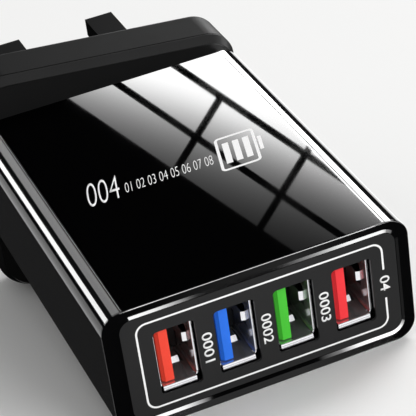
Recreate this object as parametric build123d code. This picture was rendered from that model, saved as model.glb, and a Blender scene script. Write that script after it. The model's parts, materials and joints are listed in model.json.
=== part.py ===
from build123d import *
import os
from math import atan2, degrees

# Four-port wall charger with a three-pin mains plug, lying panel up on a table.
# It is drawn along its own axis: X across the port row, Y from the port face (Y = 0) back to the
# plug, Z up with the port row at Z = 0. At the end it is tipped to rest on its nose and its plug.

# Case
body_width = 61.2
body_height = 27.2
body_drop = 0.4             # middle of the case below the middle of the port row
body_length = 80.5          # port face to the front of the plug flange
edge_radius = 4.2
wall = 2.4
fit = 0.1                   # clearance between pieces that push together

# Glossy panel let into the top of the case
panel_width = 52.2
panel_thickness = 1.0
panel_seam = 0.15
panel_edge = 0.03

# Front bezel: a shallow bevel, then a flank that rises to the face plate
bezel_setback = 0.65        # the bevel's outer edge lies this far behind the port face
bezel_land = 0.4
bezel_round = 0.2           # between the bevel and the land
seam_round = 0.12           # front edge of the case, behind the land
flank_foot = 0.35           # the flank's foot lies this far behind the port face
flank_margin_side = 2.3     # from the case's sides to the flank's foot
flank_margin_top = 1.17
flank_margin_bottom = 1.9
flank_side = 0.7            # the flank's width
flank_top = 0.45
flank_bottom = 1.14
foot_radius = 3.2
crest_radius = 2.6
rim_width = 0.12            # flat rim between the flank and the face plate
bezel_wall = 2.0
spigot_depth = 4.0
spigot_wall = 1.4
plate_thickness = 0.5
plate_fit = 0.02
fillet_share = 0.9          # most of a step that a fillet takes

# Port row
port_count = 4
port_pitch = 11.87
port_row_offset = 0.42      # middle of the port row from the middle of the face
port_width = 8.2
port_height = 14.2
port_radius = 0.9

# Port shell: a folded steel box with rolled tabs on two sides of its mouth
shell_width = 7.7
shell_height = 13.0
shell_depth = 12.5
shell_wall = 0.3
shell_radius = 0.8
shell_recess = 1.3
shell_offset = -0.15        # shell centre from the middle of its cut-out, across
shell_lift = 0.46           # and up
tab_depth = 0.8
tab_gap = 0.15
tab_clearance = 0.15        # between a tab and its cut-out
lower_tab_width = 6.6
lower_tab_forward = 0.6     # in front of the shell's mouth
lower_tab_round = 0.36
lower_tab_groove = 0.16
side_tab_width = 11.3
side_tab_forward = 0.0
side_tab_round = 0.12

# Leaf springs pressed from the shell's walls: one on the side wall, one on each end wall
side_spring_start = 2.95    # behind the mouth
side_spring_rise = 0.8
side_spring_run = 0.25
side_spring_length = 6.3
side_spring_width = 2.0
side_spring_margin = 1.4    # slot beside the leaf
side_spring_lift = 0.4
end_spring_start = 5.2
end_spring_rise = 0.9
end_spring_run = 0.8
end_spring_length = 4.0
end_spring_width = 2.4
end_spring_margin = 0.65
end_spring_offset = 0.95

# Tongue that carries the contacts, and the block that holds it at the back of the shell
tongue_thickness = 2.3
tongue_height = 11.9
tongue_back_gap = 0.5
tongue_setback = 0.3        # behind the shell's mouth
tongue_bevel = 0.6
base_depth = 2.5
base_fit = 0.15
contact_places = (-3.5, -1.0, 1.0, 3.5)
contact_width = 1.0
contact_thickness = 0.25
contact_setback = 1.0
contact_tail_step = 0.9

# Circuit board, held in rails along the case
board_thickness = 1.6
rail_height = 1.4
rail_depth = 1.5

# Parts on the board: sizes across X, along Y and up Z, or a diameter and a height
low_row = 19.5              # from the board's front edge to the output capacitors
middle_row = 34.0           # from the board's front edge to the transformer
filter_row = 19.0           # from the board's rear edge to the input capacitors
mains_row = 9.0             # from the board's rear edge to the fuse
output_cap = (7.6, 12.0)
output_cap_insets = (8.1, 17.6)     # in from the board's sides
input_cap = (10.0, 15.0)
input_cap_insets = (8.1, 19.6)      # in from the board's left side
cap_round = 0.7
port_chip = (5.0, 4.0, 1.2)
port_chip_inset = 17.1
switch_chip = (6.5, 5.0, 1.3)
core_size = (22.0, 8.0, 15.0)
core_leg = 6.0
core_back = 3.0
bobbin_wall = 0.7
bobbin_clearance = 0.15
winding_overhang = 4.2
heatsink = (1.5, 14.0, 13.0)
heatsink_inset = 7.1
rectifier = (4.4, 10.0, 9.0)
rectifier_lift = 2.5
disc_cap = (8.0, 3.0)
small_part_inset = 7.6      # disc capacitor and optocoupler, beside the transformer
small_part_spread = 4.5
coupler = (4.6, 6.5, 3.4)
filter_cap = (9.0, 6.5, 11.5)
choke = (11.0, 12.0)
choke_inset = 8.6
choke_flange = 1.6
choke_core_radius = 2.5
bridge = (15.0, 3.5, 10.5)
bridge_inset = 14.1
bridge_leg_pitch = 3.6
bridge_legs = 4
fuse = (8.4, 8.0)
fuse_inset = 8.1
leg = 0.8
leg_lift = 1.5

# Plug flange: lower edge level, upper edge falling away to the right
flange_margin = 0.1         # narrower than the case by this much
flange_offset = -0.25
flange_top_left = 22.6
flange_top_right = 16.26
flange_bottom = -30.8
flange_radius_left = 9.2
flange_radius_right = 6.3
strip_depth = 2.5           # bevelled front strip
strip_land = 0.3
strip_inset = 1.2
strip_groove = 0.2          # line around the flange's front face, inside the strip
flange_seam = 0.35
flange_depth = 13.5
flange_wall = 2.4
flange_back = 3.0
flange_round = 1.4
flange_lip = 2.0

# Mains pins to the three-pin 13 A pattern
pin_centre = -2.0
pin_height = 12.4
pin_spread = 22.2           # live to neutral, and their line to the earth pin
pin_width = 6.35
pin_thickness = 4.0
pin_length = 17.7
earth_width = 4.0
earth_height = 8.0
earth_length = 22.7
pin_tip = 1.0
sleeve_length = 9.5
sleeve_wall = 0.6
shoulder = 1.0
shoulder_depth = 1.5
strip_width = 4.0
strip_metal = 0.8
strip_level = 4.0
strip_foot = 2.0            # in from the board's rear edge
passage_margin = 1.5
passage_height = 7.0
screw_place = 21.0
screw_level = -5.0
screw_diameter = 2.6
screw_head = (5.0, 1.8)
screw_length = 8.0
boss_diameter = 6.0

# Places that follow from the sizes above
top = body_height / 2 - body_drop
bottom = top - body_height
bezel_seam = bezel_setback + bezel_land
inner_width = body_width - 2 * wall
inner_radius = edge_radius - wall
board_top = shell_lift - shell_height / 2
board_bottom = board_top - board_thickness
board_front = bezel_seam + spigot_depth + fit
board_back = body_length - spigot_depth - fit
board_width = inner_width - 2 * fit
board_side = board_width / 2
port_places = [port_row_offset + (i - (port_count - 1) / 2) * port_pitch for i in range(port_count)]
shell_back = shell_recess + shell_depth
side_tab_overhang = port_width / 2 - tab_clearance - shell_width / 2 - shell_offset
lower_tab_overhang = port_height / 2 - tab_clearance - shell_height / 2 + shell_lift
flange_width = body_width - flange_margin
flange_end = body_length + flange_depth
flange_inside = flange_end - flange_back
strip_end = body_length + strip_depth
pin_places = (pin_centre - pin_spread / 2, pin_centre + pin_spread / 2)


def slab(section, y_from, y_to):
    """A section drawn in X and Z, carried from one Y to another."""
    return extrude(Plane.XZ.offset(-y_to) * section, amount=y_to - y_from)


def skirt(front, y_front, back, y_back):
    """A straight-sided skin from one section to another."""
    return loft([Plane.XZ.offset(-y_front) * front, Plane.XZ.offset(-y_back) * back], ruled=True)


def rod(x, z, diameter, y_from, y_to):
    return slab(Pos(x, z) * Circle(diameter / 2), y_from, y_to)


def bar(x, z, width, height, y_from, y_to):
    return slab(Pos(x, z) * Rectangle(width, height), y_from, y_to)


def post(x, y, diameter, z_from, z_to):
    return extrude(Pos(x, y, z_from) * Circle(diameter / 2), amount=z_to - z_from)


def block(x, y, z_from, size):
    """A box standing on a level, given its size across X, along Y and up Z."""
    return Pos(x, y, z_from) * Box(*size, align=(Align.CENTER, Align.CENTER, Align.MIN))


def front_edges(piece):
    return piece.faces().sort_by(Axis.Y)[0].edges()


def back_edges(piece):
    return piece.faces().sort_by(Axis.Y)[-1].edges()


def top_edges(piece):
    return piece.faces().sort_by(Axis.Z)[-1].edges()


# Case, panel, bezel and face plate
def case_section(inset, radius):
    """Outline of the case, drawn in from its sides by an inset."""
    size = (body_width - 2 * inset, body_height - 2 * inset)
    return Pos(0, -body_drop) * RectangleRounded(*size, radius)


def front_section(side_margin, top_margin, bottom_margin, radius):
    """Outline on the front, given its distances from the case's edges."""
    width = body_width - 2 * side_margin
    height = body_height - top_margin - bottom_margin
    middle = (top - top_margin + bottom + bottom_margin) / 2
    return Pos(0, middle) * RectangleRounded(width, height, radius)


def crest_section(inset):
    """Outline of the flank's crest, drawn in by an inset."""
    return front_section(
        flank_margin_side + flank_side + inset,
        flank_margin_top + flank_top + inset,
        flank_margin_bottom + flank_bottom + inset,
        crest_radius - inset,
    )


body_section = case_section(0, edge_radius)
inner_section = case_section(wall, inner_radius)
spigot_section = case_section(wall + fit, inner_radius)
spigot_hollow = case_section(wall + fit + spigot_wall, inner_radius / 2)
foot_section = front_section(flank_margin_side, flank_margin_top, flank_margin_bottom, foot_radius)


def port_cutouts(y_from, y_to):
    openings = [Pos(x, 0) * RectangleRounded(port_width, port_height, port_radius) for x in port_places]
    return [slab(opening, y_from, y_to) for opening in openings]


def make_housing():
    piece = slab(body_section, bezel_seam, body_length)
    piece = fillet(front_edges(piece), seam_round)
    piece -= slab(inner_section, bezel_seam, body_length)
    pocket_width = panel_width + 2 * panel_seam
    pocket_middle = top - panel_thickness / 2
    piece -= bar(0, pocket_middle, pocket_width, panel_thickness, bezel_seam, body_length)
    for side in (-1, 1):
        x = side * (inner_width - rail_depth) / 2
        for z in (board_top + rail_height / 2, board_bottom - rail_height / 2):
            piece += bar(x, z, rail_depth, rail_height, board_front, board_back)
    return piece


def make_panel():
    ends = (bezel_seam + fit, body_length - fit)
    panel = bar(0, top - panel_thickness / 2, panel_width, panel_thickness, *ends)
    return chamfer(top_edges(panel).filter_by(Axis.Y), panel_edge)


def make_bezel():
    land = slab(body_section, bezel_setback, bezel_seam)
    land_round = min(bezel_round, fillet_share * bezel_land)
    land = fillet(front_edges(land), land_round)
    bevel_end = case_section(land_round, edge_radius - land_round)
    piece = skirt(foot_section, flank_foot, bevel_end, bezel_setback) + land
    piece += skirt(crest_section(0), 0, foot_section, flank_foot)
    piece += slab(spigot_section, bezel_seam, bezel_seam + spigot_depth)
    piece -= slab(spigot_hollow, plate_thickness + bezel_wall, bezel_seam + spigot_depth)
    piece -= slab(crest_section(rim_width), 0, plate_thickness)
    return piece - port_cutouts(plate_thickness, plate_thickness + bezel_wall)


def make_face_plate():
    plate = slab(crest_section(rim_width + plate_fit), 0, plate_thickness)
    return plate - port_cutouts(0, plate_thickness)


# Ports
shell_inside = (shell_width - 2 * shell_wall, shell_height - 2 * shell_wall)


def in_port(place):
    """The place of a shell's middle in the cut-out at an X."""
    return Pos(place + shell_offset, 0, shell_lift)


def wall_spring(reach, start, rise, run, length, width, margin):
    """A leaf pressed inwards from a wall that stands at +X, with the slot it was cut from."""
    inner = reach - shell_wall
    root = shell_recess + start
    profile = Polyline(
        (reach, root),
        (inner, root),
        (inner - rise, root + run),
        (inner - rise, root + length),
        (inner - rise + shell_wall, root + length),
        (inner - rise + shell_wall, root + run),
        (reach, root),
    )
    leaf = extrude(Pos(0, 0, -width / 2) * make_face(profile), amount=width)
    slot = bar(reach - shell_wall / 2, 0, 2 * shell_wall, width + 2 * margin, root, root + length + margin)
    return leaf, slot


def mouth_tab(reach, width, overhang, forward, rounding):
    """A rolled tab at the mouth of a wall that stands at +X, with the notch it fills."""
    inner = reach - shell_wall
    middle = (inner + reach + overhang) / 2
    back = shell_recess + tab_depth
    tab = bar(middle, 0, shell_wall + overhang, width, shell_recess - forward, back)
    tab = fillet(front_edges(tab).filter_by(Axis.Z), rounding)
    notch = bar(reach - shell_wall / 2, 0, 2 * shell_wall, width + 2 * tab_gap, shell_recess, back)
    return tab, notch


def make_shell(place):
    radius_inside = shell_radius - shell_wall
    piece = slab(RectangleRounded(shell_width, shell_height, shell_radius), shell_recess, shell_back)
    piece -= slab(RectangleRounded(*shell_inside, radius_inside), shell_recess, shell_back)
    side = shell_width / 2
    end = shell_height / 2
    tab, notch = mouth_tab(side, side_tab_width, side_tab_overhang, side_tab_forward, side_tab_round)
    piece = piece - notch + tab
    tab, notch = mouth_tab(end, lower_tab_width, lower_tab_overhang, lower_tab_forward, lower_tab_round)
    groove_place = end - shell_wall + lower_tab_round + lower_tab_groove / 2
    groove_front = shell_recess - lower_tab_forward
    groove_ends = (groove_front, groove_front + lower_tab_groove)
    tab -= bar(groove_place, 0, lower_tab_groove, lower_tab_width, *groove_ends)
    piece = piece - Rot(Y=90) * notch + Rot(Y=90) * tab
    leaf, slot = wall_spring(
        side,
        side_spring_start,
        side_spring_rise,
        side_spring_run,
        side_spring_length,
        side_spring_width,
        side_spring_margin,
    )
    turn = Pos(Z=side_spring_lift)
    piece = piece - turn * slot + turn * leaf
    leaf, slot = wall_spring(
        end,
        end_spring_start,
        end_spring_rise,
        end_spring_run,
        end_spring_length,
        end_spring_width,
        end_spring_margin,
    )
    for angle in (90, -90):
        turn = Pos(X=end_spring_offset) * Rot(Y=angle)
        piece = piece - turn * slot + turn * leaf
    return in_port(place) * piece


tongue_left = -shell_inside[0] / 2 + tongue_back_gap
tongue_right = tongue_left + tongue_thickness
tongue_front = shell_recess + tongue_setback
base_front = shell_back - base_depth


def contact_strips():
    """Four strips along the tongue, each turned down behind it to the board."""
    strips = []
    middle = tongue_right + contact_thickness / 2
    for order, z in enumerate(contact_places):
        tail = shell_back + (order + 1) * contact_tail_step
        strip = bar(middle, z, contact_thickness, contact_width, tongue_front + contact_setback, tail)
        foot = board_top - shell_lift
        drop = z + contact_width / 2 - foot
        tail_size = (contact_thickness, contact_thickness, drop)
        strip += block(middle, tail - contact_thickness / 2, foot, tail_size)
        strips.append(strip)
    return strips


def make_tongue(place):
    middle = (tongue_left + tongue_right) / 2
    tongue = bar(middle, 0, tongue_thickness, tongue_height, tongue_front, base_front)
    bevel_edge = front_edges(tongue).filter_by(Axis.Z).sort_by(Axis.X)[0]
    return in_port(place) * chamfer(bevel_edge, tongue_bevel)


def make_port_base(place):
    size = [length - 2 * base_fit for length in shell_inside]
    return in_port(place) * (bar(0, 0, *size, base_front, shell_back) - contact_strips())


def make_contacts(place):
    return in_port(place) * Compound(contact_strips())


# Board and the parts that stand on it
low_y = board_front + low_row
middle_y = board_front + middle_row
filter_y = board_back - filter_row
mains_y = board_back - mains_row
output_cap_places = [side * (board_side - inset) for inset in output_cap_insets for side in (-1, 1)]
input_cap_places = [inset - board_side for inset in input_cap_insets]
port_chip_places = [side * (board_side - port_chip_inset) for side in (-1, 1)]
heatsink_place = board_side - heatsink_inset
small_part_place = small_part_inset - board_side
choke_place = board_side - choke_inset
filter_cap_place = (max(input_cap_places) + input_cap[0] / 2 + choke_place - choke[0] / 2) / 2
bridge_place = bridge_inset - board_side
fuse_place = board_side - fuse_inset


def make_board():
    middle = (board_front + board_back) / 2
    return block(0, middle, board_bottom, (board_width, board_back - board_front, board_thickness))


def can(x, y, size):
    """A round capacitor or fuse can with a rolled top edge."""
    piece = post(x, y, size[0], board_top, board_top + size[1])
    return fillet(top_edges(piece), cap_round)


def chip(x, y, size):
    """A flat package under the board."""
    piece = block(x, y, board_bottom - size[2], size)
    return chamfer(piece.faces().sort_by(Axis.Z)[0].edges(), leg / 4)


def legs(x, y, level, places):
    """Wire legs from the board up to a level, one at each place along Y."""
    return [block(x, y + place, board_top, (leg, leg, level)) for place in places]


def make_core():
    width, depth, height = core_size
    window_width = (width - core_leg) / 2 - core_back
    window_middle = (core_leg + window_width) / 2
    window_height = height - 2 * core_back
    whole = block(0, middle_y, board_top, core_size)
    for side in (-1, 1):
        window = (window_width, depth, window_height)
        whole -= block(side * window_middle, middle_y, board_top + core_back, window)
    half = (width, depth, height / 2)
    lower = whole & block(0, middle_y, board_top, half)
    upper = whole & block(0, middle_y, board_top + height / 2, half)
    return Compound([lower, upper])


bobbin_foot = board_top + core_back + bobbin_clearance
bobbin_height = core_size[2] - 2 * (core_back + bobbin_clearance)
bobbin_bore = (core_leg + 2 * bobbin_clearance, core_size[1] + 2 * bobbin_clearance)
bobbin_tube = [length + 2 * bobbin_wall for length in bobbin_bore]
winding_size = (
    core_size[0] - 2 * (core_back + bobbin_clearance),
    core_size[1] + 2 * winding_overhang,
)


def make_bobbin():
    piece = block(0, middle_y, bobbin_foot, (*bobbin_tube, bobbin_height))
    for level in (bobbin_foot, bobbin_foot + bobbin_height - bobbin_wall):
        piece += block(0, middle_y, level, (*winding_size, bobbin_wall))
    return piece - block(0, middle_y, bobbin_foot, (*bobbin_bore, bobbin_height))


def make_winding():
    height = bobbin_height - 2 * bobbin_wall
    turns = block(0, middle_y, bobbin_foot + bobbin_wall, (*winding_size, height))
    turns = fillet(turns.edges().filter_by(Axis.Z), cap_round)
    return turns - block(0, middle_y, bobbin_foot + bobbin_wall, (*bobbin_tube, height))


def make_rectifier():
    x = heatsink_place - (heatsink[0] + rectifier[0]) / 2
    piece = block(x, middle_y, board_top + rectifier_lift, rectifier)
    reach = rectifier[1] / 2 - leg
    return piece + legs(x, middle_y, rectifier_lift, (-reach, 0, reach))


def make_disc_capacitor():
    y = middle_y - small_part_spread
    centre = board_top + disc_cap[0] / 2 + leg_lift
    disc = Pos(small_part_place, y, centre) * Rot(Y=90) * Cylinder(disc_cap[0] / 2, disc_cap[1])
    disc = fillet(disc.edges(), cap_round)
    return disc + legs(small_part_place, y, disc_cap[0] / 2 + leg_lift, (-disc_cap[0] / 4, disc_cap[0] / 4))


def make_coupler():
    y = middle_y + small_part_spread
    piece = chamfer(top_edges(block(small_part_place, y, board_top, coupler)), leg / 2)
    for side in (-1, 1):
        x = small_part_place + side * (coupler[0] + leg / 2) / 2
        for place in (-coupler[1] / 4, coupler[1] / 4):
            piece += block(x, y + place, board_top, (leg / 2, leg, coupler[2] / 2))
    return piece


def make_bridge():
    piece = block(bridge_place, mains_y, board_top + leg_lift, bridge)
    for order in range(bridge_legs):
        x = bridge_place + (order - (bridge_legs - 1) / 2) * bridge_leg_pitch
        piece += block(x, mains_y, board_top, (leg, leg, leg_lift))
    return piece


def make_choke_core():
    diameter, height = choke
    end = board_top + height
    piece = post(choke_place, filter_y, diameter, board_top, board_top + choke_flange)
    piece += post(choke_place, filter_y, 2 * choke_core_radius, board_top, end)
    return piece + post(choke_place, filter_y, diameter, end - choke_flange, end)


def make_choke_winding():
    level = (board_top + choke_flange, board_top + choke[1] - choke_flange)
    turns = post(choke_place, filter_y, choke[0] - leg, *level)
    return turns - post(choke_place, filter_y, 2 * choke_core_radius, *level)


# Plug
def flange_section(inset=0.0):
    """Outline of the flange, drawn in from its edge by an inset."""
    left = flange_offset - flange_width / 2
    right = flange_offset + flange_width / 2
    outline = Polygon(
        (left, flange_bottom),
        (right, flange_bottom),
        (right, flange_top_right),
        (left, flange_top_left),
        align=None,
    )
    corners = outline.vertices().sort_by(Axis.X)
    outline = fillet(corners[:2], flange_radius_left)
    corners = outline.vertices().sort_by(Axis.X)
    outline = fillet(corners[-2:], flange_radius_right)
    return offset(outline, amount=-inset) if inset else outline


passage_width = pin_spread + strip_width + 2 * passage_margin


def make_plug_front():
    piece = skirt(flange_section(strip_inset), body_length, flange_section(), strip_end - strip_land)
    piece += slab(flange_section(), strip_end - strip_land, strip_end)
    piece += slab(spigot_section, body_length - spigot_depth, body_length)
    lip = slab(flange_section(flange_wall + fit), strip_end, strip_end + flange_lip)
    lip -= slab(flange_section(2 * flange_wall), strip_end, strip_end + flange_lip)
    piece += lip
    piece -= slab(spigot_hollow, body_length - spigot_depth, body_length)
    line = slab(flange_section(strip_inset), body_length, body_length + strip_groove)
    line -= slab(flange_section(strip_inset + strip_groove), body_length, body_length + strip_groove)
    piece -= line
    piece -= bar(pin_centre, strip_level, passage_width, passage_height, body_length, strip_end)
    for x in (-screw_place, screw_place):
        piece -= rod(x, screw_level, screw_diameter + 2 * fit, body_length, strip_end)
    return piece


def pin_cut(x, z, width, height):
    return bar(x, z, width, height, flange_inside, flange_end)


def make_plug_rear():
    piece = slab(flange_section(), strip_end + flange_seam, flange_end)
    piece = fillet(back_edges(piece), flange_round)
    piece -= slab(flange_section(flange_wall), strip_end + flange_seam, flange_inside)
    for x in (-screw_place, screw_place):
        piece += rod(x, screw_level, boss_diameter, strip_end, flange_inside)
        piece -= rod(x, screw_level, screw_diameter, strip_end, body_length + screw_length)
    for x in pin_places:
        piece -= pin_cut(x, pin_height, pin_width, pin_thickness)
    return piece - pin_cut(pin_centre, pin_height - pin_spread, earth_width, earth_height)


def make_pin(x):
    """A metal pin, necked under its sleeve, with a shoulder behind the flange."""
    neck = (pin_width - 2 * sleeve_wall, pin_thickness - 2 * sleeve_wall)
    sleeve_end = flange_end + sleeve_length
    blade = bar(x, pin_height, pin_width, pin_thickness, sleeve_end, flange_end + pin_length)
    blade = chamfer(back_edges(blade), pin_tip)
    collar = (pin_width + 2 * shoulder, pin_thickness + 2 * shoulder)
    piece = blade + bar(x, pin_height, *neck, flange_inside, sleeve_end)
    return piece + bar(x, pin_height, *collar, flange_inside - shoulder_depth, flange_inside)


def make_sleeve(x):
    neck = (pin_width - 2 * sleeve_wall, pin_thickness - 2 * sleeve_wall)
    ends = (flange_inside, flange_end + sleeve_length)
    return bar(x, pin_height, pin_width, pin_thickness, *ends) - bar(x, pin_height, *neck, *ends)


def make_earth_pin():
    z = pin_height - pin_spread
    piece = bar(pin_centre, z, earth_width, earth_height, flange_inside, flange_end + earth_length)
    piece = chamfer(back_edges(piece), pin_tip)
    collar = (earth_width + 2 * shoulder, earth_height + 2 * shoulder)
    return piece + bar(pin_centre, z, *collar, flange_inside - shoulder_depth, flange_inside)


def make_strip(x):
    """A folded strip from a pin's shoulder, through the flange and down to the board."""
    start = flange_inside - shoulder_depth
    foot = board_back - strip_foot
    outline = Polygon(
        (start - strip_metal, pin_height + pin_thickness / 2),
        (start - strip_metal, strip_level),
        (foot - strip_metal, strip_level),
        (foot - strip_metal, board_top),
        (foot, board_top),
        (foot, strip_level - strip_metal),
        (start, strip_level - strip_metal),
        (start, pin_height + pin_thickness / 2),
        align=None,
    )
    return extrude(Plane.YZ.offset(x - strip_width / 2) * outline, amount=strip_width)


def make_screws():
    screws = []
    for x in (-screw_place, screw_place):
        head = rod(x, screw_level, screw_head[0], body_length - screw_head[1], body_length)
        head = fillet(front_edges(head), screw_head[1] / 2)
        screws.append(head + rod(x, screw_level, screw_diameter, body_length, body_length + screw_length))
    return Compound(screws)


nodes = {
    "housing_sleeve": make_housing(),
    "top_panel": make_panel(),
    "front_bezel": make_bezel(),
    "face_plate": make_face_plate(),
    "main_board": make_board(),
    "output_capacitors": Compound([can(x, low_y, output_cap) for x in output_cap_places]),
    "port_chips": Compound([chip(x, low_y, port_chip) for x in port_chip_places]),
    "switching_chip": chip(0, filter_y, switch_chip),
    "transformer_core": make_core(),
    "transformer_bobbin": make_bobbin(),
    "transformer_winding": make_winding(),
    "output_heatsink": block(heatsink_place, middle_y, board_top, heatsink),
    "output_rectifier": make_rectifier(),
    "disc_capacitor": make_disc_capacitor(),
    "optocoupler": make_coupler(),
    "input_capacitors": Compound([can(x, filter_y, input_cap) for x in input_cap_places]),
    "filter_capacitor": fillet(
        block(filter_cap_place, filter_y, board_top, filter_cap).edges().filter_by(Axis.Z), cap_round
    ),
    "choke_core": make_choke_core(),
    "choke_winding": make_choke_winding(),
    "bridge_rectifier": make_bridge(),
    "fuse": can(fuse_place, mains_y, fuse),
    "plug_front_cover": make_plug_front(),
    "plug_rear_cover": make_plug_rear(),
    "earth_pin": make_earth_pin(),
    "cover_screws": make_screws(),
}
for number, place in enumerate(port_places, start=1):
    nodes[f"usb_shell_{number}"] = make_shell(place)
    nodes[f"usb_tongue_{number}"] = make_tongue(place)
    nodes[f"usb_base_{number}"] = make_port_base(place)
    nodes[f"usb_contacts_{number}"] = make_contacts(place)
for name, place in zip(("neutral", "live"), pin_places):
    nodes[f"{name}_pin"] = make_pin(place)
    nodes[f"{name}_sleeve"] = make_sleeve(place)
    nodes[f"{name}_strip"] = make_strip(place)

# Rest: the nose's lower edge and the flange's lower edge both touch the table
rest_run = strip_end - strip_land - bezel_setback
rest_drop = bottom - flange_bottom
rest_turn = Rot(X=degrees(atan2(rest_drop, rest_run)))
boxes = [(rest_turn * piece).bounding_box() for piece in nodes.values()]
low = [min(getattr(box.min, axis) for box in boxes) for axis in "XYZ"]
high = [max(getattr(box.max, axis) for box in boxes) for axis in "XYZ"]
rest = Pos(-(low[0] + high[0]) / 2, -(low[1] + high[1]) / 2, -low[2]) * rest_turn

os.makedirs("parts", exist_ok=True)
for name, piece in nodes.items():
    export_step(rest * piece, f"parts/{name}.step")
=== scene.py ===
"""Finishes, prints and studio for a four-port wall charger with a three-pin plug."""

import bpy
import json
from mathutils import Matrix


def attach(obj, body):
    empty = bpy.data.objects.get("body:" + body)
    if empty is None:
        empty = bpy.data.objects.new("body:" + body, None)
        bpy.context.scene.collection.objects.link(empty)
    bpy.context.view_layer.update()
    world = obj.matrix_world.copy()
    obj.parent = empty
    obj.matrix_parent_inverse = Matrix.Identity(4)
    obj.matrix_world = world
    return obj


bl_info = {
    "name": "Wall Charger Finish",
    "version": (1, 0, 0),
    "blender": (4, 5, 0),
    "location": "View3D > Sidebar > Charger",
    "description": "Finishes a four-port wall charger and sets it on a pale studio floor",
    "category": "Object",
}

import json
from math import exp, radians

import bmesh
import bpy
from bpy.props import FloatProperty, FloatVectorProperty, PointerProperty
from mathutils import Matrix, Vector

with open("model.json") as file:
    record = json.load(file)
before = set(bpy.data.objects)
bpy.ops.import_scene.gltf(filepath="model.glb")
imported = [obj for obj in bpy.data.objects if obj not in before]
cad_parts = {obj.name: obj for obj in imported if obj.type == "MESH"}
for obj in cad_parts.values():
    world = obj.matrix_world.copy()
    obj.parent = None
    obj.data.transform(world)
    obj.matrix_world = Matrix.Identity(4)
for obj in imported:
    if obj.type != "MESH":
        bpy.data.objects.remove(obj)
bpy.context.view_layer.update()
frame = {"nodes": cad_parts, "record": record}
MM = 0.001

# The charger's own axes: X across the port row, Y from the port face to the plug, Z up from the
# middle of the row. They are tipped in the frame, because the charger lies on its nose and its plug.
PANEL_TOP = 13.2
MOUNTS = {mount["name"]: mount for mount in frame["record"]["mounts"]}
BODY_Y = -Vector(MOUNTS["usb_port_1"]["axis"]).normalized()
BODY_Z = -Vector(MOUNTS["underside"]["axis"]).normalized()
BODY_TURN = Matrix((BODY_Y.cross(BODY_Z), BODY_Y, BODY_Z)).transposed()


def span(node):
    """Lowest and highest corner of a node along the charger's own axes, before its origin is known."""
    corners = [BODY_TURN.transposed() @ vertex.co for vertex in frame["nodes"][node].data.vertices]
    return Vector(map(min, *corners)), Vector(map(max, *corners))


case_low, case_high = span("housing_sleeve")
BODY_ORIGIN = BODY_TURN @ Vector((
    (case_low.x + case_high.x) / 2, span("face_plate")[0].y, case_high.z - PANEL_TOP * MM,
))
BODY = Matrix.Translation(BODY_ORIGIN) @ BODY_TURN.to_4x4()
BODY_MM = BODY @ Matrix.Scale(MM, 4)


def body_point(x, y, z):
    """A place on the charger's own axes, in millimetres, as a point of the frame."""
    return BODY @ (Vector((x, y, z)) * MM)


# Camera, found by fitting the port face, the ports and the panel to the photograph
PHOTO_SIDE = 416
CAMERA_PLACE = Vector((-97.295, -278.594, 214.698))
CAMERA_AIM = Vector((0.165, 23.80, 13.2))
CAMERA_ROLL = radians(-8.585)
CAMERA_LENS = 171.136
SENSOR = 36.0

# Pale studio: floor, which is even beyond a reach of the charger, the air's light on the pieces
# and as it is seen, and a black tent that only reflections see
FLOOR_RADIUS = 12.0
FLOOR_SEGMENTS = 96
FLOOR_ROUGHNESS = 0.7
FLOOR_SPECULAR = 0.1
FLOOR_EVEN_FROM = 0.22
FLOOR_EVEN_AT = 0.7
AIR_COLOUR = (0.95, 0.95, 0.945)
AIR_ON_PIECES = 0.5
AIR_SEEN = 1.0
TENT_RADIUS = 9.0

# Lamps: name, place in metres, width in metres and power in watts, turned to a place on the charger
LAMPS = (
    ("key_lamp", (1.6, 0.9, 2.0), 1.4, 37.0),
    ("front_lamp", (0.8, -2.0, 0.9), 1.2, 31.0),
)
LAMP_AIM = (0, 40, 0)

# Cards that only reflections see glow by a colour on their corners, up to this strength
GLOW_LIMIT = 60.0

# Window-shaped softbox as the panel mirrors it, in photograph pixels: a corner of its bars, the
# step along the panes to the next cross bar and the step across them to the next long bar
WINDOW_CORNER = Vector((196.1, 137.25))
WINDOW_ALONG = Vector((84.6, 57.4))
WINDOW_ACROSS = Vector((25.0, -40.5))
WINDOW_ROWS = (-0.9, 0.0, 1.0, 2.6)
WINDOW_COLUMNS = ((-1.4, 0.0, 1.0, 2.6), (-1.4, 0.0, 1.0, 2.6), (-1.4, 1.0, 2.6))
WINDOW_BAR_ALONG = 0.037
WINDOW_BAR_ACROSS = 0.075

# Its light, as the panel shows it: natural logarithm at the corner, rise across the panes, fall
# along them and how that eases, and the strength that the panel shows as white
WINDOW_START = -1.35
WINDOW_RISE = 1.73
WINDOW_FALL = 1.0
WINDOW_EASE = 0.35
WINDOW_EASE_FROM = 0.2
WINDOW_WHITE = 11.6
WINDOW_SHOULDER = 4.0
WINDOW_DISTANCE = 2500.0
PANE_STEPS = 8

# Pieces that a card shines on
PORTS = range(1, 5)
PANEL = ("top_panel",)
CASE = ("housing_sleeve", "top_panel", "front_bezel")
BEZEL = ("front_bezel", "housing_sleeve")
SHELLS = tuple(f"usb_shell_{port}" for port in PORTS)
FACE = ("face_plate", *(f"usb_tongue_{port}" for port in PORTS))
PLUG = (
    "plug_front_cover", "plug_rear_cover", "earth_pin",
    "neutral_pin", "neutral_sleeve", "live_pin", "live_sleeve",
)

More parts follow.
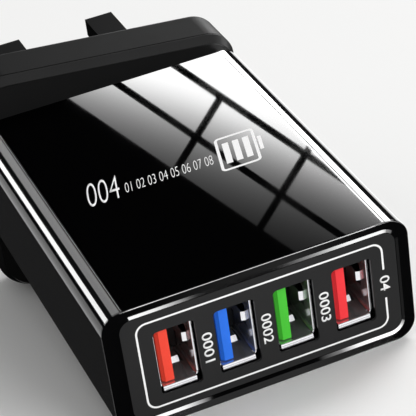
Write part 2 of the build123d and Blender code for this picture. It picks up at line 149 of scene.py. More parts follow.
# Strip lights that run along the charger: angles about its long axis, 0 above it and 90 to the
# right, ends along it, strength and the pieces they shine on
STRIP_RADIUS = 1500.0
BEHIND = (600.0, 6000.0)
OVERHEAD = (-400.0, 600.0)
STRIPS = {
    "strip_top_left": ((-23.0, 15.5), BEHIND, 2.7, CASE),
    "strip_left": ((-74.0, -50.0), BEHIND, 12.0, CASE),
    "strip_low_left": ((-150.0, -96.0), BEHIND, 1.0, CASE),
    "strip_under_left": ((-178.0, -150.0), BEHIND, 0.025, CASE),
    "strip_right": ((32.0, 60.0), BEHIND, 24.0, CASE),
    "strip_low_right": ((96.0, 146.0), BEHIND, 2.0, CASE),
    "plug_top_light": ((-30.0, 60.0), OVERHEAD, 0.5, PLUG),
    "plug_right_light": ((66.0, 95.0), BEHIND, 2.5, PLUG),
}

# Cards in front of the ports, bent about the row: radius, height of the bend's middle, angles, 0
# in front and 90 above, stops of place across and strength, and the pieces they shine on
HOOPS = {
    "port_card": (55.0, -6.0, (-44.0, 62.0), ((-60, 1.15), (90, 1.15)), SHELLS),
    "port_card_low": (55.0, -6.0, (-58.0, -44.0), ((-60, 0.75), (90, 0.75)), SHELLS),
    "port_card_lower": (55.0, -6.0, (-72.0, -58.0), ((-60, 0.4), (90, 0.4)), SHELLS),
    "port_card_lowest": (55.0, -6.0, (-90.0, -72.0), ((-60, 0.15), (90, 0.15)), SHELLS),
    "face_card": (56.0, -6.0, (-44.0, 10.0), ((-12, 0.75), (44, 0.75)), FACE),
    "bead_card": (150.0, 12.0, (7.0, 30.0), ((-10, 1.1), (90, 1.1)), BEZEL),
    "flank_card_left": (150.0, 12.0, (31.0, 45.0), ((-10, 50), (12, 50), (24, 0)), BEZEL),
    "flank_card_right": (
        150.0, 12.0, (31.0, 45.0), ((50, 0), (60, 16), (68, 50), (95, 50), (170, 20), (240, 8)), BEZEL,
    ),
    "corner_card": (150.0, 12.0, (-12.0, 30.0), ((130, 14), (200, 10), (290, 5)), BEZEL),
    "side_card": (150.0, 12.0, (-85.0, -50.0), ((150, 0.2), (270, 0.2)), BEZEL),
    "seam_card": (25.0, 13.2, (50.0, 115.0), ((-20, 40), (33, 40)), BEZEL),
    "bevel_card": (
        150.0, 12.0, (-7.0, 4.0), ((14, 0), (24, 0.3), (47, 0.75), (53, 0.9), (64, 0.3), (80, 0)), BEZEL,
    ),
    "table_edge_card": (
        30.0, -12.0, (-84.0, -66.0),
        ((-22, 25), (-11, 20), (-5, 0), (19, 0), (24, 4), (28, 20), (40, 30), (52, 10), (60, 3)), BEZEL,
    ),
    "table_card": (30.0, -12.0, (-64.0, -52.0), ((-20, 0.7), (15, 0.7), (36, 0.15)), BEZEL),
}
CARD_STEPS = 24


class ChargerColours(bpy.types.PropertyGroup):
    """Colours of the charger's finishes."""

    case: FloatVectorProperty(
        name="Case", description="Glossy case", subtype="COLOR", size=3,
        default=(0.006, 0.006, 0.0065), min=0, max=1,
    )
    bezel: FloatVectorProperty(
        name="Bezel", description="Glossy bezel around the face", subtype="COLOR", size=3,
        default=(0.002, 0.002, 0.0022), min=0, max=1,
    )
    panel: FloatVectorProperty(
        name="Panel", description="Mirror-gloss top panel", subtype="COLOR", size=3,
        default=(0.0008, 0.0008, 0.0009), min=0, max=1,
    )
    face: FloatVectorProperty(
        name="Face", description="Matte plate around the ports", subtype="COLOR", size=3,
        default=(0.022, 0.022, 0.0225), min=0, max=1,
    )
    plug: FloatVectorProperty(
        name="Plug", description="Satin plug covers and pins", subtype="COLOR", size=3,
        default=(0.01, 0.01, 0.0102), min=0, max=1,
    )
    ink: FloatVectorProperty(
        name="Ink", description="Printed lines and numbers", subtype="COLOR", size=3,
        default=(0.9, 0.9, 0.9), min=0, max=1,
    )
    tongue_1: FloatVectorProperty(
        name="Tongue 1", description="Tongue of the first port", subtype="COLOR", size=3,
        default=(0.95, 0.06, 0.028), min=0, max=1,
    )
    tongue_2: FloatVectorProperty(
        name="Tongue 2", description="Tongue of the second port", subtype="COLOR", size=3,
        default=(0.012, 0.17, 0.85), min=0, max=1,
    )
    tongue_3: FloatVectorProperty(
        name="Tongue 3", description="Tongue of the third port", subtype="COLOR", size=3,
        default=(0.06, 0.58, 0.03), min=0, max=1,
    )
    tongue_4: FloatVectorProperty(
        name="Tongue 4", description="Tongue of the fourth port", subtype="COLOR", size=3,
        default=(0.95, 0.03, 0.04), min=0, max=1,
    )
    floor: FloatVectorProperty(
        name="Floor", description="Studio floor and backdrop", subtype="COLOR", size=3,
        default=(0.9, 0.9, 0.895), min=0, max=1,
    )


class ChargerPrint(bpy.types.PropertyGroup):
    """Sizes of the printed lines and numbers, in millimetres."""

    outline_width: FloatProperty(
        name="Outline Width", description="Printed outline, side to side", default=49.5, min=10,
    )
    outline_height: FloatProperty(
        name="Outline Height", description="Printed outline, top to bottom", default=19.26, min=5,
    )
    outline_shift: FloatProperty(
        name="Outline Shift", description="Middle of the outline above the port row", default=0.26,
    )
    outline_offset: FloatProperty(
        name="Outline Offset", description="Middle of the outline right of the middle of the face",
        default=0.1,
    )
    outline_radius: FloatProperty(
        name="Outline Radius", description="Corner radius of the outline", default=2.2, min=0.1,
    )
    line: FloatProperty(
        name="Line", description="Width of the outline", default=0.38, min=0.05,
    )
    gap: FloatProperty(
        name="Gap", description="Break in the right side of the outline", default=6.4, min=0,
    )
    gap_shift: FloatProperty(
        name="Gap Shift", description="Middle of the break above the middle of the outline",
        default=0.13,
    )
    digit: FloatProperty(
        name="Digit", description="Length of the row that one digit of a port number takes",
        default=1.65, min=0.2,
    )
    number_height: FloatProperty(
        name="Number Height", description="Height of a port number", default=2.0, min=0.2,
    )
    thickness: FloatProperty(
        name="Thickness", description="How far the ink stands proud", default=0.02, min=0.001,
    )


# Port numbers: text and place across and up
PORT_NUMBERS = (("0001", -11.4, 0.0), ("0002", 0.4, -0.4), ("0003", 12.2, -0.1), ("04", 24.7, 0.5))

# How far the strokes of the type are drawn in, as a share of its size, on the panel and the face
PANEL_THINNING = 0.014
FACE_THINNING = -0.012

# Panel numbers: text, place of their lower left corner across and along, width and length
PANEL_NUMBERS = (
    ("004", -19.5, 36.9, 6.7, 8.4),
    ("01 02 03 04 05 06 07 08", -11.4, 37.9, 18.7, 3.5),
)
PANEL_LEAN = 0.257

# Battery picture: middle, size, corner, line, terminal and bars
BATTERY_PLACE = (13.4, 40.3)
BATTERY_SIZE = (8.6, 12.4)
BATTERY_RADIUS = 1.1
BATTERY_LINE = 0.62
BATTERY_TERMINAL = (0.8, 5.0)
BATTERY_BAR = (1.35, 7.6)
BATTERY_BARS = (-2.2, 0.0, 2.2)


# Shader building blocks

def new_finish(name, colour, roughness, **values):
    """A material with plain values on its one Principled shader."""
    finish = bpy.data.materials.new(name)
    finish.use_nodes = True
    shader = finish.node_tree.nodes["Principled BSDF"]
    shader.inputs["Base Color"].default_value = (*colour, 1)
    shader.inputs["Roughness"].default_value = roughness
    for socket, value in values.items():
        shader.inputs[socket.replace("_", " ").title().replace("Ior", "IOR")].default_value = value
    return finish, shader


def grain_group():
    """Moulded surface: a fine texture for bump and a slow drift for roughness and tone."""
    group = bpy.data.node_groups.get("moulded_grain")
    if group:
        return group
    group = bpy.data.node_groups.new("moulded_grain", "ShaderNodeTree")
    sockets = {
        "Colour": ("NodeSocketColor", "INPUT"),
        "Grain Scale": ("NodeSocketFloat", "INPUT"),
        "Roughness Low": ("NodeSocketFloat", "INPUT"),
        "Roughness High": ("NodeSocketFloat", "INPUT"),
        "Tone": ("NodeSocketFloat", "INPUT"),
        "Base": ("NodeSocketColor", "OUTPUT"),
        "Roughness": ("NodeSocketFloat", "OUTPUT"),
        "Height": ("NodeSocketFloat", "OUTPUT"),
    }
    for name, (kind, way) in sockets.items():
        group.interface.new_socket(name, in_out=way, socket_type=kind)
    nodes, links = group.nodes, group.links
    given = nodes.new("NodeGroupInput")
    made = nodes.new("NodeGroupOutput")
    place = nodes.new("ShaderNodeTexCoord")
    fine = nodes.new("ShaderNodeTexNoise")
    fine.inputs["Detail"].default_value = 3.0
    drift = nodes.new("ShaderNodeTexNoise")
    drift.inputs["Scale"].default_value = 60.0
    drift.inputs["Detail"].default_value = 2.0
    spread = nodes.new("ShaderNodeMapRange")
    spread.inputs["From Min"].default_value = 0.3
    spread.inputs["From Max"].default_value = 0.7
    shade = nodes.new("ShaderNodeMixRGB")
    shade.blend_type = "MULTIPLY"
    tone = nodes.new("ShaderNodeMapRange")
    tone.inputs["To Min"].default_value = 0.75
    tone.inputs["To Max"].default_value = 1.25
    links.new(place.outputs["Object"], fine.inputs["Vector"])
    links.new(place.outputs["Object"], drift.inputs["Vector"])
    links.new(given.outputs["Grain Scale"], fine.inputs["Scale"])
    links.new(drift.outputs["Fac"], spread.inputs["Value"])
    links.new(given.outputs["Roughness Low"], spread.inputs["To Min"])
    links.new(given.outputs["Roughness High"], spread.inputs["To Max"])
    links.new(fine.outputs["Fac"], tone.inputs["Value"])
    links.new(given.outputs["Tone"], shade.inputs["Fac"])
    links.new(given.outputs["Colour"], shade.inputs["Color1"])
    links.new(tone.outputs["Result"], shade.inputs["Color2"])
    links.new(shade.outputs["Color"], made.inputs["Base"])
    links.new(spread.outputs["Result"], made.inputs["Roughness"])
    links.new(fine.outputs["Fac"], made.inputs["Height"])
    return group


def moulded_finish(name, colour, roughness, scale, tone, bump, **values):
    """Plastic or metal with a fine grain; roughness is a low and a high value."""
    finish, shader = new_finish(name, colour, roughness[0], **values)
    nodes, links = finish.node_tree.nodes, finish.node_tree.links
    grain = nodes.new("ShaderNodeGroup")
    grain.node_tree = grain_group()
    grain.inputs["Colour"].default_value = (*colour, 1)
    grain.inputs["Grain Scale"].default_value = scale
    grain.inputs["Roughness Low"].default_value = roughness[0]
    grain.inputs["Roughness High"].default_value = roughness[1]
    grain.inputs["Tone"].default_value = tone
    links.new(grain.outputs["Base"], shader.inputs["Base Color"])
    links.new(grain.outputs["Roughness"], shader.inputs["Roughness"])
    if bump:
        relief = nodes.new("ShaderNodeBump")
        relief.inputs["Strength"].default_value = 1.0
        relief.inputs["Distance"].default_value = bump * MM
        links.new(grain.outputs["Height"], relief.inputs["Height"])
        links.new(relief.outputs["Normal"], shader.inputs["Normal"])
    return finish


def glow_finish():
    """Plain light by the colour on a card's corners, clear, so that a card hides none behind it."""
    finish = bpy.data.materials.get("card_glow")
    if finish:
        return finish
    finish = bpy.data.materials.new("card_glow")
    finish.use_nodes = True
    nodes, links = finish.node_tree.nodes, finish.node_tree.links
    nodes.clear()
    light = nodes.new("ShaderNodeEmission")
    light.inputs["Strength"].default_value = GLOW_LIMIT
    shade = nodes.new("ShaderNodeVertexColor")
    shade.layer_name = "glow"
    clear = nodes.new("ShaderNodeBsdfTransparent")
    both = nodes.new("ShaderNodeAddShader")
    out = nodes.new("ShaderNodeOutputMaterial")
    links.new(shade.outputs["Color"], light.inputs["Color"])
    links.new(light.outputs["Emission"], both.inputs[0])
    links.new(clear.outputs["BSDF"], both.inputs[1])
    links.new(both.outputs["Shader"], out.inputs["Surface"])
    return finish


def dress(finish, *names):
    """Puts a finish on CAD nodes."""
    for name in names:
        piece = frame["nodes"][name]
        if not piece.material_slots:
            piece.data.materials.append(finish)
        for slot in piece.material_slots:
            slot.material = finish


def lit_group(names):
    """CAD nodes as a group that a card's light can be kept to."""
    label = f"lit_{names[0]}_{len(names)}"
    group = bpy.data.collections.get(label)
    if group:
        return group
    group = bpy.data.collections.new(label)
    for name in names:
        group.objects.link(frame["nodes"][name])
    return group


def mesh_piece(name, shape, finish, matrix=None):
    """A finished bmesh as an object at the origin."""
    if matrix is not None:
        bmesh.ops.transform(shape, matrix=matrix, verts=shape.verts)
    mesh = bpy.data.meshes.new(name)
    shape.to_mesh(mesh)
    shape.free()
    mesh.materials.append(finish)
    piece = bpy.data.objects.new(name, mesh)
    bpy.context.scene.collection.objects.link(piece)
    return piece


# Operators

class CHARGER_OT_case(bpy.types.Operator):
    """Finish the case, panel, bezel and face plate"""

    bl_idname = "charger.case"
    bl_label = "Case"

    def execute(self, context):
        colours = context.scene.charger_colours
        case = moulded_finish("case_gloss", colours.case, (0.05, 0.09), 900, 0.3, 0)
        bezel = moulded_finish(
            "bezel_gloss", colours.bezel, (0.07, 0.1), 900, 0.3, 0, specular_ior_level=0.25,
        )
        panel = moulded_finish("panel_mirror", colours.panel, (0.008, 0.02), 900, 0.2, 0)
        face = moulded_finish(
            "face_matte", colours.face, (0.42, 0.5), 4200, 0.5, 0.012, specular_ior_level=0.2,
        )
        dress(case, "housing_sleeve")
        dress(panel, "top_panel")
        dress(bezel, "front_bezel")
        dress(face, "face_plate")
        return {"FINISHED"}


class CHARGER_OT_ports(bpy.types.Operator):
    """Finish the port shells, tongues and contacts"""

    bl_idname = "charger.ports"
    bl_label = "Ports"

    def execute(self, context):
        colours = context.scene.charger_colours
        shell = moulded_finish(
            "shell_nickel", (0.8, 0.8, 0.82), (0.14, 0.2), 1500, 0.2, 0, metallic=0.92,
        )
        contact = moulded_finish(
            "contact_gold", (0.7, 0.45, 0.16), (0.25, 0.35), 1500, 0.2, 0, metallic=1.0,
        )
        base = moulded_finish("base_black", (0.004, 0.004, 0.004), (0.5, 0.6), 1800, 0.2, 0.004)
        tints = (colours.tongue_1, colours.tongue_2, colours.tongue_3, colours.tongue_4)
        for number, tint in enumerate(tints, start=1):
            tongue = moulded_finish(f"tongue_plastic_{number}", tint, (0.3, 0.4), 1800, 0.15, 0.004)
            dress(shell, f"usb_shell_{number}")
            dress(tongue, f"usb_tongue_{number}")
            dress(contact, f"usb_contacts_{number}")
            dress(base, f"usb_base_{number}")
        return {"FINISHED"}


class CHARGER_OT_plug(bpy.types.Operator):
    """Finish the plug covers, pins and sleeves"""

    bl_idname = "charger.plug"
    bl_label = "Plug"

    def execute(self, context):
        colours = context.scene.charger_colours
        cover = moulded_finish("plug_satin", colours.plug, (0.4, 0.5), 2600, 0.4, 0.006)
        sleeve = moulded_finish("sleeve_satin", colours.plug, (0.4, 0.5), 2600, 0.4, 0.006)
        pin = moulded_finish("pin_black", colours.plug, (0.4, 0.5), 1500, 0.3, 0.003)
        steel = moulded_finish(
            "screw_steel", (0.5, 0.5, 0.52), (0.25, 0.35), 1500, 0.3, 0, metallic=1.0,
        )
        brass = moulded_finish(
            "strip_brass", (0.72, 0.52, 0.22), (0.2, 0.32), 1500, 0.3, 0, metallic=1.0,
        )
        dress(cover, "plug_front_cover", "plug_rear_cover")
        dress(sleeve, "earth_pin", "neutral_sleeve", "live_sleeve")
        dress(pin, "neutral_pin", "live_pin")
        dress(brass, "neutral_strip", "live_strip")
        dress(steel, "cover_screws")
        for name in ("plug_front_cover", "plug_rear_cover"):
            frame["nodes"][name].visible_glossy = False
        return {"FINISHED"}


class CHARGER_OT_inside(bpy.types.Operator):
    """Finish the circuit board and the parts that stand on it"""

    bl_idname = "charger.inside"
    bl_label = "Inside"

    def execute(self, context):
        metal = {"metallic": 1.0}
        parts = (
            ("board_resist", (0.003, 0.008, 0.005), (0.35, 0.5), {}, ("main_board",)),
            ("can_film", (0.02, 0.02, 0.05), (0.15, 0.25), {},
             ("output_capacitors", "input_capacitors")),
            ("package_black", (0.012, 0.012, 0.012), (0.45, 0.6), {},
             ("port_chips", "switching_chip", "output_rectifier", "optocoupler", "bridge_rectifier")),
            ("ferrite_grey", (0.05, 0.05, 0.055), (0.5, 0.65), {}, ("transformer_core", "choke_core")),
            ("bobbin_black", (0.03, 0.03, 0.03), (0.4, 0.5), {}, ("transformer_bobbin",)),
            ("winding_tape", (0.75, 0.5, 0.04), (0.2, 0.3), {}, ("transformer_winding",)),
            ("winding_copper", (0.7, 0.26, 0.1), (0.25, 0.35), metal, ("choke_winding",)),
            ("sheet_aluminium", (0.7, 0.7, 0.71), (0.3, 0.4), metal, ("output_heatsink",)),
            ("disc_coating", (0.03, 0.12, 0.5), (0.2, 0.3), {}, ("disc_capacitor",)),
            ("box_yellow", (0.8, 0.55, 0.05), (0.3, 0.4), {}, ("filter_capacitor",)),
            ("fuse_brown", (0.16, 0.05, 0.025), (0.25, 0.35), {}, ("fuse",)),
        )
        for name, colour, roughness, values, nodes in parts:
            dress(moulded_finish(name, colour, roughness, 1800, 0.4, 0.004, **values), *nodes)
        return {"FINISHED"}


# Printed shapes, flat in X and Y and raised along Z

def frame_shape(width, height, radius, line):
    """A rounded rectangle drawn as a line."""
    shape = bmesh.new()
    bmesh.ops.create_grid(shape, x_segments=1, y_segments=1, size=0.5)
    bmesh.ops.scale(shape, vec=(width, height, 1), verts=shape.verts)
    bmesh.ops.bevel(
        shape, geom=shape.verts[:], offset=radius, offset_type="OFFSET", segments=10, profile=0.5,
        affect="VERTICES", material=-1,
    )
    ring = bmesh.ops.inset_region(
        shape, faces=shape.faces[:], thickness=line, use_even_offset=True, use_boundary=True,
    )
    inner = [face for face in shape.faces if face not in ring["faces"]]
    bmesh.ops.delete(shape, geom=inner, context="FACES")
    return shape


def text_shape(text, width, height, thinning):
    """A line of text, made a mesh and drawn to a width and a height about its middle."""
    curve = bpy.data.curves.new("ink_text", "FONT")
    curve.body = text
    curve.offset = -thinning
    holder = bpy.data.objects.new("ink_text", curve)
    mesh = bpy.data.meshes.new_from_object(holder)
    shape = bmesh.new()
    shape.from_mesh(mesh)
    bpy.data.objects.remove(holder)
    bpy.data.curves.remove(curve)
    bpy.data.meshes.remove(mesh)
    bmesh.ops.remove_doubles(shape, verts=shape.verts, dist=1e-5)
    places = [vertex.co for vertex in shape.verts]
    low, high = Vector(map(min, *places)), Vector(map(max, *places))
    bmesh.ops.translate(shape, vec=-(low + high) / 2, verts=shape.verts)
    scale = (width / (high.x - low.x), height / (high.y - low.y), 1)
    bmesh.ops.scale(shape, vec=scale, verts=shape.verts)
    return shape


def printed(name, shape, thickness, ink, stand):
    """Raises a flat shape by the ink's thickness and stands it on the charger."""
    grown = bmesh.ops.extrude_face_region(shape, geom=shape.faces[:])
    raised = [item for item in grown["geom"] if isinstance(item, bmesh.types.BMVert)]
    bmesh.ops.translate(shape, vec=(0, 0, thickness), verts=raised)
    bmesh.ops.recalc_face_normals(shape, faces=shape.faces)
    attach(mesh_piece(name, shape, ink, BODY_MM @ stand), "root")


def ink_finish(context):
    """White ink, made once."""
    ink = bpy.data.materials.get("ink_white")
    if ink:
        return ink
    return moulded_finish("ink_white", context.scene.charger_colours.ink, (0.4, 0.5), 3000, 0.1, 0)


class CHARGER_OT_face_print(bpy.types.Operator):
    """Print the outline and the port numbers on the face plate"""

    bl_idname = "charger.face_print"
    bl_label = "Face Print"

    def execute(self, context):
        sizes = context.scene.charger_print
        ink = ink_finish(context)
        upright = Matrix.Rotation(radians(90), 4, "X")
        shape = frame_shape(sizes.outline_width, sizes.outline_height, sizes.outline_radius, sizes.line)
        self.break_side(shape, sizes)
        stand = Matrix.Translation((sizes.outline_offset, 0, sizes.outline_shift)) @ upright
        printed("face_outline", shape, sizes.thickness, ink, stand)
        for text, x, z in PORT_NUMBERS:
            shape = text_shape(text, sizes.digit * len(text), sizes.number_height, FACE_THINNING)
            stand = Matrix.Translation((x, 0, z)) @ upright @ Matrix.Rotation(radians(-90), 4, "Z")
            printed(f"port_number_{text}", shape, sizes.thickness, ink, stand)
        return {"FINISHED"}

    def break_side(self, shape, sizes):
        """Takes a length out of the right side of the outline."""
        for edge in (-sizes.gap / 2, sizes.gap / 2):
            bmesh.ops.bisect_plane(
                shape, geom=shape.verts[:] + shape.edges[:] + shape.faces[:], dist=1e-6,
                plane_co=(0, sizes.gap_shift + edge, 0), plane_no=(0, 1, 0),
            )
        broken = [
            face for face in shape.faces
            if face.calc_center_median().x > 0
            and abs(face.calc_center_median().y - sizes.gap_shift) < sizes.gap / 2
        ]
        bmesh.ops.delete(shape, geom=broken, context="FACES")


class CHARGER_OT_panel_print(bpy.types.Operator):
    """Print the numbers and the battery picture on the panel"""

    bl_idname = "charger.panel_print"
    bl_label = "Panel Print"

    def execute(self, context):
        thickness = context.scene.charger_print.thickness
        ink = ink_finish(context)
        lean = Matrix.Identity(4)
        lean[0][1] = PANEL_LEAN
        for text, x, y, width, length in PANEL_NUMBERS:
            middle = Matrix.Translation((width / 2, length / 2, 0))
            stand = Matrix.Translation((x, y, PANEL_TOP)) @ lean @ middle
            shape = text_shape(text, width, length, PANEL_THINNING)
            printed(f"panel_number_{len(text)}", shape, thickness, ink, stand)
        stand = Matrix.Translation((*BATTERY_PLACE, PANEL_TOP)) @ lean
        printed("panel_battery", self.battery(), thickness, ink, stand)
        return {"FINISHED"}

    def battery(self):
        """A battery's outline, with its terminal and charge bars."""
        shape = frame_shape(*BATTERY_SIZE, BATTERY_RADIUS, BATTERY_LINE)
        blocks = [(place, BATTERY_BAR) for place in BATTERY_BARS]
        blocks.append(((BATTERY_SIZE[0] + BATTERY_TERMINAL[0]) / 2 + BATTERY_LINE / 2, BATTERY_TERMINAL))
        for place, size in blocks:
            bmesh.ops.create_grid(
                shape, x_segments=1, y_segments=1, size=0.5,
                matrix=Matrix.Translation((place, 0, 0)) @ Matrix.Diagonal((*size, 1, 1)),
            )
        return shape


class CHARGER_OT_stage(bpy.types.Operator):
    """Set the floor, lights, reflection cards and camera"""

    bl_idname = "charger.stage"
    bl_label = "Stage"

    def execute(self, context):
        scene = context.scene
        scene.view_settings.view_transform = "Standard"
        self.floor(scene)
        self.world(scene)
        self.lamps(scene)
        self.tent()
        self.window()
        self.camera(scene)
        return {"FINISHED"}

    def floor(self, scene):
        """A pale floor that keeps its shadow near the charger and is even further out."""
        finish, shader = new_finish(
            "studio_floor", scene.charger_colours.floor, FLOOR_ROUGHNESS,
            specular_ior_level=FLOOR_SPECULAR,
        )
        nodes, links = finish.node_tree.nodes, finish.node_tree.links
        place = nodes.new("ShaderNodeTexCoord")
        reach = nodes.new("ShaderNodeVectorMath")
        reach.operation = "LENGTH"
        far = nodes.new("ShaderNodeMapRange")
        far.interpolation_type = "SMOOTHSTEP"
        far.inputs["From Min"].default_value = FLOOR_EVEN_FROM
        far.inputs["From Max"].default_value = FLOOR_EVEN_AT
        path = nodes.new("ShaderNodeLightPath")
        seen = nodes.new("ShaderNodeMath")
        seen.operation = "MULTIPLY"
        even = nodes.new("ShaderNodeEmission")
        even.inputs["Color"].default_value = (*scene.charger_colours.floor, 1)
        mix = nodes.new("ShaderNodeMixShader")
        links.new(place.outputs["Object"], reach.inputs[0])
        links.new(reach.outputs["Value"], far.inputs["Value"])
        links.new(far.outputs["Result"], seen.inputs[0])
        links.new(path.outputs["Is Camera Ray"], seen.inputs[1])
        links.new(seen.outputs["Value"], mix.inputs["Fac"])
        links.new(shader.outputs["BSDF"], mix.inputs[1])
        links.new(even.outputs["Emission"], mix.inputs[2])
        links.new(mix.outputs["Shader"], nodes["Material Output"].inputs["Surface"])
        shape = bmesh.new()
        bmesh.ops.create_circle(shape, cap_ends=True, segments=FLOOR_SEGMENTS, radius=FLOOR_RADIUS)
        floor = mesh_piece("floor", shape, finish)
        floor.visible_glossy = False

    def world(self, scene):
        """Pale air, brighter where it is seen or mirrored than as light on the pieces."""
        world = bpy.data.worlds.new("studio_air")
        scene.world = world
        world.use_nodes = True
        nodes, links = world.node_tree.nodes, world.node_tree.links
        air = nodes["Background"]
        air.inputs["Color"].default_value = (*AIR_COLOUR, 1)
        path = nodes.new("ShaderNodeLightPath")
        seen = nodes.new("ShaderNodeMath")
        seen.operation = "MAXIMUM"
        clear = nodes.new("ShaderNodeMath")
        clear.operation = "MAXIMUM"
        level = nodes.new("ShaderNodeMapRange")
        level.inputs["To Min"].default_value = AIR_ON_PIECES
        level.inputs["To Max"].default_value = AIR_SEEN
        links.new(path.outputs["Is Camera Ray"], seen.inputs[0])
        links.new(path.outputs["Is Glossy Ray"], seen.inputs[1])
        links.new(seen.outputs["Value"], clear.inputs[0])
        links.new(path.outputs["Is Transmission Ray"], clear.inputs[1])
        links.new(clear.outputs["Value"], level.inputs["Value"])
        links.new(level.outputs["Result"], air.inputs["Strength"])

    def lamps(self, scene):
        """Soft lamps that reflections don't show."""
        aim = body_point(*LAMP_AIM)
        for name, place, size, power in LAMPS:
            light = bpy.data.lights.new(name, "AREA")
            light.shape = "DISK"
            light.size = size
            light.energy = power
            lamp = bpy.data.objects.new(name, light)
            lamp.location = place
            lamp.rotation_euler = (aim - Vector(place)).to_track_quat("-Z", "Y").to_euler()
            lamp.visible_glossy = False
            scene.collection.objects.link(lamp)

    def reflected_only(self, card):
        """Lets only reflections see a card."""
        card.visible_camera = False
        card.visible_diffuse = False
        card.visible_transmission = False
        card.visible_volume_scatter = False
        card.visible_shadow = False

    def card(self, name, shape, level, lit):
        """A card whose corners glow by a level found from their place, and shine on named pieces."""
        glow = shape.loops.layers.float_color.new("glow")
        for face in shape.faces:
            for loop in face.loops:
                loop[glow] = (*[level(loop.vert.co) / GLOW_LIMIT] * 3, 1)
        card = mesh_piece(name, shape, glow_finish(), BODY_MM)
        card.light_linking.receiver_collection = lit_group(lit)
        self.reflected_only(card)

    def tent(self):
        """A black tent with strip lights along the charger and cards in front of it."""
        shape = bmesh.new()
        bmesh.ops.create_uvsphere(shape, u_segments=48, v_segments=24, radius=TENT_RADIUS)
        black = new_finish("tent_black", (0, 0, 0), 1.0, specular_ior_level=0)[0]
        self.reflected_only(mesh_piece("dark_tent", shape, black))
        for name, (angles, ends, strength, lit) in STRIPS.items():
            shape = bmesh.new()
            line = [shape.verts.new((0, y, STRIP_RADIUS)) for y in ends]
            self.spin(shape, line, "Y", *angles)
            self.card(name, shape, lambda place: strength, lit)
        for name, (radius, height, angles, stops, lit) in HOOPS.items():
            shape = bmesh.new()
            line = [shape.verts.new((x, -radius, 0)) for x, strength in stops]
            self.spin(shape, line, "X", -angles[0], -angles[1])
            bmesh.ops.translate(shape, vec=(0, 0, height), verts=shape.verts)
            levels = {round(x, 2): strength for x, strength in stops}
            self.card(name, shape, lambda place: levels[round(place.x, 2)], lit)

    def spin(self, shape, line, axis, start, end):
        """Bends a line into a card about an axis, from one angle to another."""
        for pair in zip(line, line[1:]):
            shape.edges.new(pair)
        turn = Matrix.Rotation(radians(start), 3, axis)
        bmesh.ops.rotate(shape, verts=shape.verts, cent=(0, 0, 0), matrix=turn)
        bmesh.ops.spin(
            shape, geom=shape.verts[:] + shape.edges[:], cent=(0, 0, 0),
            axis=(float(axis == "X"), float(axis == "Y"), 0),
            angle=radians(end - start), steps=CARD_STEPS,
        )

    def mirrored(self, pixel):
        """Where the ray through a photograph pixel, mirrored by the panel, meets the window."""
        view = self.view_turn()
        half = PHOTO_SIDE / 2
        reach = CAMERA_LENS / SENSOR * PHOTO_SIDE
        ray = view @ Vector((pixel.x - half, half - pixel.y, -reach)).normalized()
        drop = (PANEL_TOP - CAMERA_PLACE.z) / ray.z
        start = CAMERA_PLACE + ray * drop
        ray.z = -ray.z
        facing = view @ Vector((0, 0, -1))
        facing.z = -facing.z
        centre = CAMERA_AIM + facing * WINDOW_DISTANCE
        return start + ray * ((centre - start).dot(facing) / ray.dot(facing))

    def window(self):
        """The window's panes, row by row."""
        for row, columns in enumerate(WINDOW_COLUMNS):
            for column, ends in enumerate(zip(columns, columns[1:])):
                self.pane(f"window_{row}_{column}", ends, WINDOW_ROWS[row:row + 2])

    def pane(self, name, along, across):
        """One pane, as a grid whose corners glow by their place in the window."""
        start = Vector((along[0] + WINDOW_BAR_ALONG, across[0] + WINDOW_BAR_ACROSS))
        size = Vector((along[1] - WINDOW_BAR_ALONG, across[1] - WINDOW_BAR_ACROSS)) - start
        shape = bmesh.new()
        bmesh.ops.create_grid(shape, x_segments=PANE_STEPS, y_segments=PANE_STEPS, size=0.5)
        levels = {}
        for vertex in shape.verts:
            a = start.x + (vertex.co.x + 0.5) * size.x
            b = start.y + (vertex.co.y + 0.5) * size.y
            vertex.co = self.mirrored(WINDOW_CORNER + a * WINDOW_ALONG + b * WINDOW_ACROSS)
            levels[vertex.co.to_tuple(2)] = self.window_level(a, b)
        self.card(name, shape, lambda place: levels[place.to_tuple(2)], PANEL)

    def window_level(self, a, b):
        """Strength of the window at a place along and across it, rounded off towards white."""
        fall = WINDOW_FALL - WINDOW_EASE * max(b - WINDOW_EASE_FROM, 0)
        shown = exp(WINDOW_START + WINDOW_RISE * b - fall * a)
        return WINDOW_WHITE * shown / (1 + shown ** WINDOW_SHOULDER) ** (1 / WINDOW_SHOULDER)

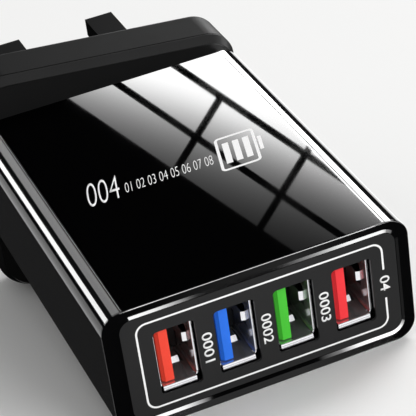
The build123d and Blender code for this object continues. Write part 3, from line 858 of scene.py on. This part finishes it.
    def view_turn(self):
        """Camera axes on the charger's own axes."""
        forward = (CAMERA_AIM - CAMERA_PLACE).normalized()
        right = forward.cross(Vector((0, 0, 1))).normalized()
        level = Matrix((right, right.cross(forward), -forward)).transposed()
        return level @ Matrix.Rotation(CAMERA_ROLL, 3, "Z")

    def camera(self, scene):
        """The photograph's camera."""
        lens = bpy.data.cameras.new("camera")
        lens.lens = CAMERA_LENS
        lens.sensor_width = SENSOR
        lens.clip_start = 0.01
        lens.clip_end = 100.0
        camera = bpy.data.objects.new("camera", lens)
        turn = (BODY_TURN @ self.view_turn()).to_4x4()
        camera.matrix_world = Matrix.Translation(body_point(*CAMERA_PLACE)) @ turn
        scene.collection.objects.link(camera)
        scene.camera = camera


class CHARGER_PT_panel(bpy.types.Panel):
    """Lists the charger's sizes, colours and operators"""

    bl_idname = "CHARGER_PT_panel"
    bl_label = "Charger"
    bl_space_type = "VIEW_3D"
    bl_region_type = "UI"
    bl_category = "Charger"

    def draw(self, context):
        layout = self.layout
        for group in (context.scene.charger_colours, context.scene.charger_print):
            for name in group.__annotations__:
                layout.prop(group, name)
        for operator in OPERATORS:
            layout.operator(operator.bl_idname)


OPERATORS = (
    CHARGER_OT_case,
    CHARGER_OT_ports,
    CHARGER_OT_plug,
    CHARGER_OT_inside,
    CHARGER_OT_face_print,
    CHARGER_OT_panel_print,
    CHARGER_OT_stage,
)
CLASSES = (ChargerColours, ChargerPrint, *OPERATORS, CHARGER_PT_panel)


def register():
    for kind in CLASSES:
        bpy.utils.register_class(kind)
    bpy.types.Scene.charger_colours = PointerProperty(type=ChargerColours)
    bpy.types.Scene.charger_print = PointerProperty(type=ChargerPrint)


def unregister():
    del bpy.types.Scene.charger_print
    del bpy.types.Scene.charger_colours
    for kind in reversed(CLASSES):
        bpy.utils.unregister_class(kind)


def main():
    register()
    bpy.ops.charger.case()
    bpy.ops.charger.ports()
    bpy.ops.charger.plug()
    bpy.ops.charger.inside()
    bpy.ops.charger.face_print()
    bpy.ops.charger.panel_print()
    bpy.ops.charger.stage()


if __name__ == "__main__":
    main()
